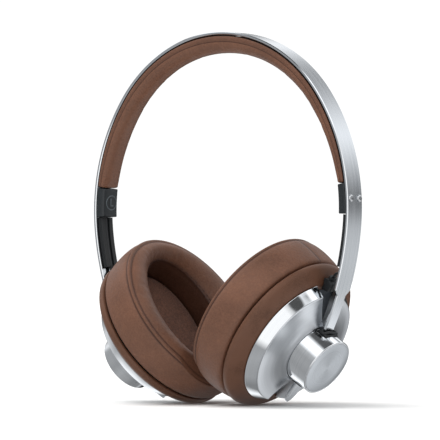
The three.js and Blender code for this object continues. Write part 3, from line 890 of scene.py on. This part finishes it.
def build_housing_discs():
    """The turned metal disc: a polished rim, a satin flared face and a V notch at top and bottom."""
    for side in SIDES:
        place = cup_place(side)
        outline = rounded(DISC_OUTLINE, 0.35, 2)
        disc = turned(f"housing_disc_turned_{side}", outline, FINISHES["satin"], place, 240)
        apex, rim, spread = 15.2, 38.0, 10.1  # of the notch: where its V starts and ends, and half its width
        high_end, low_end = 18.95, 7.9  # of the ramp that is its floor
        slant = math.sin(math.atan2(high_end - low_end, rim - apex))
        low = [(apex, -0.15, high_end), (rim, -spread, low_end), (rim, spread, low_end),
               (apex, 0.15, high_end)]
        high = [(x, y, 32.0) for x, y, _ in low]
        for turn in (0, math.pi):
            turned_place = place @ Matrix.Rotation(turn, 4, "Z")
            carve(disc, wedge("notch", [low, high], FINISHES["dark_metal"], turned_place))
        disc.data.materials.append(FINISHES["polished"])
        # The notch's ramp gets a dark grey metal: a painted dark reflection on the same turned aluminium.
        disc.data.materials.append(FINISHES["dark_metal"])
        for face in disc.data.polygons:
            centre, normal = face.center / MM, face.normal
            radius = math.hypot(centre.x, centre.y)
            off_axis = abs(normal.x * centre.y - normal.y * centre.x) / max(radius, 1)
            on_rim = off_axis < 0.06 and radius > 31.75 and normal.z > -0.5
            on_ramp = abs(normal.y) < 0.05 and abs(abs(normal.x) - slant) < 0.03 and abs(centre.y) < 8
            face.material_index = 1 if on_rim else 2 if on_ramp else 0
        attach(disc, f"cup_{side}")
        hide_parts(f"housing_disc_{side}")


def build_knobs():
    """The round knob: a polished wall with a slot for the strip, and a spun cap with a bright edge."""
    for side in SIDES:
        place = cup_place(side)
        outline = [(14.6, 32.0), (14.6, 33.9), (14.75, 34.0), (15.1, 34.0), (15.5, 33.6), (15.5, 12.3),
                   (19.1, 12.2), (19.1, 10.75), (13.5, 10.75), (13.5, 31.8), (14.6, 32.0)]
        barrel = turned(f"knob_wall_{side}", rounded(outline, 0.15, 2)[1:-1], FINISHES["polished"], place)
        half = SLOT_HALF_WIDTH
        slot = [[(x, -half, SLOT_LOW), (x, half, SLOT_LOW), (x, half, SLOT_HIGH), (x, -half, SLOT_HIGH)]
                for x in (-20, 20)]
        carve(barrel, wedge("slot", slot, FINISHES["polished"], place))
        soften(barrel, 0.2, 2)
        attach(barrel, f"cup_{side}")
        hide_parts(f"knob_barrel_{side}")
        face = [(0, 32.7), (14.58, 32.7), (14.58, 33.9), (14.45, 34.0), (10, 34.0), (5, 34.0), (0, 34.0)]
        cap = turned(f"knob_face_{side}", rounded(face, 0.1, 2), FINISHES["spun"], place)
        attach(cap, f"cup_{side}")
        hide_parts(f"knob_cap_{side}")


def slot_loop(place, sign, out, middle, half_height, wave=0.0, stretch=1.0):
    """A loop round a slot of the knob, in metres. The rest is in mm: how far out of the wall it is, its
    middle and half its height on the wall, and the height of a wave across it. Stretch widens it."""
    steps, half_width = 72, 5.0
    points = []
    for i in range(steps):
        angle = 2 * math.pi * i / steps
        across, up = math.cos(angle), math.sin(angle)
        y = math.copysign(abs(across) ** 0.35, across) * half_width
        rise = math.copysign(abs(up) ** 0.6, up)
        ripple = wave * math.sin(math.pi * y / half_width) * (1 if rise > 0 else 0.6)
        x = math.sqrt(KNOB_RADIUS ** 2 - y * y) + out
        points.append(place @ (Vector((sign * x, y * stretch, middle + rise * half_height + ripple)) * MM))
    return points


def build_grommets():
    """A rubber frame in each slot, and in the upper one a wavy lip that moves with the strip."""
    middle = (SLOT_LOW + SLOT_HIGH) / 2
    for side in SIDES:
        place = cup_place(side)
        for where, sign in (("upper", -1), ("lower", 1)):
            outward = place.to_3x3() @ Vector((sign, 0, 0))
            border = tube(f"slot_frame_{where}_{side}", slot_loop(place, sign, -0.25, middle, 3.1),
                          oval(0.95, 0.45, 10), outward, FINISHES["rubber"], closed=True)
            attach(border, f"cup_{side}")
            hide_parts(f"slot_grommet_{where}_{side}")
            if where == "lower":
                continue
            loop = slot_loop(place, sign, 0.75, STRIP_MIDDLE, 1.75, wave=0.55, stretch=1.04)
            lip = tube(f"strip_lip_upper_{side}", loop, oval(1.0, 0.75, 12), outward, FINISHES["rubber"],
                       closed=True)
            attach(lip, f"yoke_{side}")


def build_leads():
    """The flat lead from the channel under the strip to the cup, and the relief it ends in."""
    for side in SIDES:
        sign = side_sign(side)
        place = cup_place(side)
        knots = [on_band(sign * d, 0, -3.1) for d in along(133.4, 170, 3.0)]
        foot = [place @ (Vector(p) * MM) for p in ((-43.0, 0, 12.4), (-41.6, 0, 12.2), (-39.6, 0, 11.8))]
        path = smooth_path(knots + foot, 110)
        across = Vector((0, 1, 0))
        lead = tube(f"cup_lead_jacket_{side}", path, oval(1.45, 0.55, 14), across, FINISHES["jacket"])
        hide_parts(f"cup_lead_{side}")
        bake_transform(lead)
        body = [(-33.0, 11.1), (-35.8, 10.8), (-38.4, 9.4), (-39.4, 12.2), (-37.4, 14.8), (-33.4, 14.8)]
        relief = wedge(f"strain_relief_body_{side}",
                       [[(x, y, d) for x, d in body] for y in (-3.8, 3.8)], FINISHES["rubber"], place)
        for middle in (-1.5, 1.5):
            low, high = middle - 0.35, middle + 0.35
            outline = [(-40.0, low), (-32.0, low), (-32.0, high), (-40.0, high)]
            groove = [[(x, y, d) for x, y in outline] for d in (14.4, 16.0)]
            carve(relief, wedge("groove", groove, FINISHES["rubber"], place))
        soften(relief, 0.35, 2)
        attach(relief, f"cup_{side}")
        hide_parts(f"strain_relief_{side}")
        collar_path = [place @ (Vector(p) * MM)
                       for p in ((-38.4, 0, 11.6), (-39.6, 0, 11.8), (-40.5, 0, 12.0))]
        collar = tube(f"relief_collar_{side}", collar_path, oval(2.7, 1.7, 24), across, FINISHES["rubber"])
        soften(collar, 0.3, 2)
        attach(collar, f"cup_{side}")


def smooth_path(knots, count):
    """Points on one smooth curve through the knots."""
    knots = [Vector(k) for k in knots]
    padded = [knots[0] * 2 - knots[1]] + knots + [knots[-1] * 2 - knots[-2]]
    points = []
    for t in np.linspace(0, len(knots) - 1 - 1e-9, count):
        i, s = int(t), t - int(t)
        a, b, c, d = padded[i:i + 4]
        points.append(0.5 * (2 * b + (c - a) * s + (2 * a - 5 * b + 4 * c - d) * s * s
                             + (3 * b - a - 3 * c + d) * s ** 3))
    return points


CARRIED = {
    "band_lead": "jacket", "pad_plate": "plastic", "baffle": "plastic", "driver_diaphragm": "film",
    "driver_frame": "plastic", "driver_magnet": "magnet", "pivot_bracket": "plastic", "swivel_yoke": "plated",
    "slider_shoe": "plastic", "charging_socket": "plated", "circuit_board": "board", "battery": "wrap",
}


def finish_carried_nodes():
    """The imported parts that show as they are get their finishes."""
    for name, node in frame["nodes"].items():
        key = name.removesuffix("_R").removesuffix("_L")
        if key in CARRIED:
            node.data.materials.clear()
            node.data.materials.append(FINISHES[CARRIED[key]])


# Stage

# Brightness of the studio behind and before the headphones, as a direction goes from down (-1) to up (1)
BEHIND = [
    (-1.0, 0.3), (-0.78, 0.3), (-0.65, 1.2), (-0.5, 1.5), (-0.36, 0.7), (-0.22, 0.85), (-0.1, 0.8),
    (0.05, 0.12), (0.2, 0.6), (0.42, 1.5), (0.52, 1.0), (0.61, 0.25), (0.7, 1.3), (0.86, 1.6), (0.93, 0.14),
    (1.0, 0.1),
]
BEFORE = [
    (-1.0, 0.4), (-0.75, 0.5), (-0.4, 0.4), (-0.1, 0.45), (0.2, 0.45), (0.45, 0.6), (0.6, 1.6), (0.86, 1.6),
    (0.93, 0.14), (1.0, 0.1),
]
SOFT = [(-1.0, 0.12), (0.0, 0.45), (0.5, 0.85), (1.0, 1.05)]  # the same for matt surfaces, all round
# Cards that the metal reflects: direction, inner and outer half angle in degrees, brightness
CARDS = [
    ((-0.28, 0.94, -0.2), 22, 38, 0.06),
    ((0.55, -0.82, 0.0), 28, 40, 1.35),
    ((0.8, -0.25, 0.52), 9, 13, 0.1),
    ((0.68, 0.35, 0.62), 10, 15, 1.6),
]


def panel_ramp(tree, upward, levels):
    """A grey that follows the levels as upward goes from -1 to 1."""
    ramp = add_node(tree, "ShaderNodeValToRGB", {"Fac": between(tree, upward, 0, 1, -1, 1)})
    stops = ramp.color_ramp.elements
    stops[0].position, stops[1].position = 0.0, 1.0
    for height, _ in levels[1:-1]:
        stops.new((height + 1) / 2)
    for stop, (_, level) in zip(stops, levels):
        stop.color = (level * 0.985, level, level * 1.02, 1)
    return ramp.outputs["Color"]


def studio_world(scene):
    """White to the camera, soft from above for matt surfaces, and panels with dark gaps for shiny ones."""
    world = bpy.data.worlds.new("studio")
    scene.world = world
    world.use_nodes = True
    tree = world.node_tree
    tree.nodes.clear()
    way = add_node(tree, "ShaderNodeTexCoord").outputs["Generated"]
    parts = add_node(tree, "ShaderNodeSeparateXYZ", {"Vector": way}).outputs
    front = between(tree, parts["Y"], 1.0, 0.0, -0.15, 0.15)
    behind, before = (panel_ramp(tree, parts["Z"], levels) for levels in (BEHIND, BEFORE))
    panels = blended(tree, front, behind, before)
    for toward, inner, outer, level in CARDS:
        facing = add_node(tree, "ShaderNodeVectorMath", {0: way, 1: tuple(Vector(toward).normalized())},
                          operation="DOT_PRODUCT").outputs["Value"]
        edge, core = math.cos(math.radians(outer)), math.cos(math.radians(inner))
        share = between(tree, facing, 0, 1, edge, core)
        panels = blended(tree, share, panels, (level, level, level, 1))
    soft = panel_ramp(tree, parts["Z"], SOFT)
    rays = add_node(tree, "ShaderNodeLightPath").outputs
    lit = blended(tree, rays["Is Glossy Ray"], soft, panels)
    seen = blended(tree, rays["Is Camera Ray"], lit, (1.05, 1.05, 1.05, 1))
    light = add_node(tree, "ShaderNodeBackground", {"Color": seen})
    add_node(tree, "ShaderNodeOutputWorld", {"Surface": light.outputs[0]})


def build_stage(stage):
    """A pale floor, a bright surround with dark gaps for the metal to reflect, lights and the camera."""
    scene = bpy.context.scene
    scene.view_settings.view_transform = "Standard"
    material, tree, shader = start_material("matt white paper", Roughness=0.9)
    grain = add_node(tree, "ShaderNodeTexNoise", {"Vector": object_mm(tree), "Scale": 0.01}).outputs["Fac"]
    tree.links.new(tint(tree, grain, "#F4F3F1", "#F8F7F5"), shader.inputs["Base Color"])
    half = stage.floor_size / 2
    floor = make_piece("floor", [(-half, -half, 0), (half, -half, 0), (half, half, 0), (-half, half, 0)],
                       [(0, 1, 2, 3)], material)
    floor.visible_glossy = False
    studio_world(scene)
    for name, toward, power, spread in (("overhead softbox", (-0.45, -0.25, 0.86), stage.key_power, 50),
                                        ("side softbox", (0.55, -0.8, 0.35), stage.fill_power, 60)):
        lamp = bpy.data.lights.new(name, "SUN")
        lamp.energy = power
        lamp.angle = math.radians(spread)
        holder = bpy.data.objects.new(name, lamp)
        scene.collection.objects.link(holder)
        holder.location = Vector(toward)
        holder.rotation_mode = "QUATERNION"
        holder.rotation_quaternion = Vector(toward).to_track_quat("Z", "Y")
        holder.visible_glossy = False
    back = Vector((math.sin(stage.azimuth) * math.cos(stage.elevation),
                   -math.cos(stage.azimuth) * math.cos(stage.elevation), math.sin(stage.elevation)))
    right = Vector((math.cos(stage.azimuth), math.sin(stage.azimuth), 0))
    lens = bpy.data.cameras.new("camera")
    lens.lens = stage.focal_length
    lens.clip_end = 50
    camera = bpy.data.objects.new("camera", lens)
    scene.collection.objects.link(camera)
    camera.location = right * stage.aim_right + Vector((0, 0, stage.aim_height)) + back * stage.distance
    camera.rotation_mode = "QUATERNION"
    camera.rotation_quaternion = (-back).to_track_quat("-Z", "Y")
    scene.camera = camera


# Settings that a user would change


class HeadphoneSizes(PropertyGroup):
    cover_pressure: FloatProperty(name="Cover pressure", default=4.0, min=0, max=20,
                                  description="How hard the foam fills the sewn covers")
    side_swell: FloatProperty(name="Side swell", default=0.0009, unit="LENGTH", subtype="DISTANCE",
                              description="The most that an ear pad's side may stand out from its pattern")
    face_swell: FloatProperty(name="Face swell", default=0.0005, unit="LENGTH", subtype="DISTANCE",
                              description="The most that an ear pad's face may stand out from its pattern")
    headband_swell: FloatProperty(name="Headband swell", default=0.0006, unit="LENGTH", subtype="DISTANCE",
                                  description="The most that the headband pad may stand out from its pattern")


class HeadphoneColours(PropertyGroup):
    leather_dark: FloatVectorProperty(name="Leather, dark", subtype="COLOR", size=3, min=0, max=1,
                                      default=linear("#593B2C"), description="Hollows of the leather's grain")
    leather_light: FloatVectorProperty(name="Leather, light", subtype="COLOR", size=3, min=0, max=1,
                                       default=linear("#714C39"),
                                       description="Raised parts of the leather's grain")


class HeadphoneStage(PropertyGroup):
    azimuth: FloatProperty(name="Azimuth", default=math.radians(37.19), subtype="ANGLE", unit="ROTATION",
                           description="Camera's turn round the headphones")
    elevation: FloatProperty(name="Elevation", default=math.radians(-0.92), subtype="ANGLE", unit="ROTATION",
                             description="Camera's angle above the horizon")
    distance: FloatProperty(name="Distance", default=1.67027, unit="LENGTH", subtype="DISTANCE",
                            description="From the camera to the point it looks at")
    key_power: FloatProperty(name="Overhead light", default=1.9, min=0, max=20,
                             description="Strength of the overhead softbox")
    fill_power: FloatProperty(name="Side light", default=0.35, min=0, max=20,
                              description="Strength of the side softbox")
    focal_length: FloatProperty(name="Focal length", default=263.9, min=1, max=5000,
                                description="Of the camera's lens, in millimetres")
    aim_height: FloatProperty(name="Aim height", default=0.0952, unit="LENGTH", subtype="DISTANCE",
                              description="Height of the point that the camera looks at")
    aim_right: FloatProperty(name="Aim to the right", default=-0.00226, unit="LENGTH", subtype="DISTANCE",
                             description="How far that point is to the right of the middle")
    floor_size: FloatProperty(name="Floor size", default=30.0, unit="LENGTH", subtype="DISTANCE",
                              description="Side of the square floor")


class HEADPHONES_OT_band(Operator):
    """Build the brushed strip, its rail, end blocks, channels and screws"""

    bl_idname = "headphones.band"
    bl_label = "Band"

    def execute(self, context):
        if not FINISHES:
            make_finishes(context.scene.headphone_colours)
        build_band()
        build_carrier()
        build_end_blocks()
        build_liners()
        build_screws()
        return {"FINISHED"}


class HEADPHONES_OT_headband_pad(Operator):
    """Build the padded cover under the band"""

    bl_idname = "headphones.headband_pad"
    bl_label = "Headband Pad"

    def execute(self, context):
        build_headband_pad(context.scene.headphone_sizes)
        return {"FINISHED"}


class HEADPHONES_OT_ear_pads(Operator):
    """Build the ear cushions and the cloth inside them"""

    bl_idname = "headphones.ear_pads"
    bl_label = "Ear Pads"

    def execute(self, context):
        build_ear_pads(context.scene.headphone_sizes)
        build_baffle_cloths()
        return {"FINISHED"}


class HEADPHONES_OT_cups(Operator):
    """Build the shells, discs, knobs and grommets of the ear cups"""

    bl_idname = "headphones.cups"
    bl_label = "Ear Cups"

    def execute(self, context):
        build_cup_shells()
        build_housing_discs()
        build_knobs()
        build_grommets()
        return {"FINISHED"}


class HEADPHONES_OT_leads(Operator):
    """Build the flat leads and their reliefs"""

    bl_idname = "headphones.leads"
    bl_label = "Leads"

    def execute(self, context):
        build_leads()
        return {"FINISHED"}


class HEADPHONES_OT_inner_parts(Operator):
    """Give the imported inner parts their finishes"""

    bl_idname = "headphones.inner_parts"
    bl_label = "Inner Parts"

    def execute(self, context):
        finish_carried_nodes()
        return {"FINISHED"}


class HEADPHONES_OT_stage(Operator):
    """Set up the floor, lights and camera"""

    bl_idname = "headphones.stage"
    bl_label = "Stage"

    def execute(self, context):
        build_stage(context.scene.headphone_stage)
        return {"FINISHED"}


BUILDERS = (HEADPHONES_OT_band, HEADPHONES_OT_headband_pad, HEADPHONES_OT_ear_pads, HEADPHONES_OT_cups,
            HEADPHONES_OT_leads, HEADPHONES_OT_inner_parts, HEADPHONES_OT_stage)


class HEADPHONES_PT_panel(Panel):
    bl_label = "Headphones"
    bl_space_type = "VIEW_3D"
    bl_region_type = "UI"
    bl_category = "Headphones"

    def draw(self, context):
        for group in ("headphone_sizes", "headphone_colours", "headphone_stage"):
            settings = getattr(context.scene, group)
            for key in settings.__annotations__:
                self.layout.prop(settings, key)
        for builder in BUILDERS:
            self.layout.operator(builder.bl_idname)


CLASSES = (HeadphoneSizes, HeadphoneColours, HeadphoneStage, *BUILDERS, HEADPHONES_PT_panel)


def register():
    for made in CLASSES:
        bpy.utils.register_class(made)
    bpy.types.Scene.headphone_sizes = PointerProperty(type=HeadphoneSizes)
    bpy.types.Scene.headphone_colours = PointerProperty(type=HeadphoneColours)
    bpy.types.Scene.headphone_stage = PointerProperty(type=HeadphoneStage)


def unregister():
    del bpy.types.Scene.headphone_stage
    del bpy.types.Scene.headphone_colours
    del bpy.types.Scene.headphone_sizes
    for made in reversed(CLASSES):
        bpy.utils.unregister_class(made)


def main():
    register()
    bpy.ops.headphones.band()
    bpy.ops.headphones.headband_pad()
    bpy.ops.headphones.ear_pads()
    bpy.ops.headphones.cups()
    bpy.ops.headphones.leads()
    bpy.ops.headphones.inner_parts()
    bpy.ops.headphones.stage()


if __name__ == "__main__":
    main()
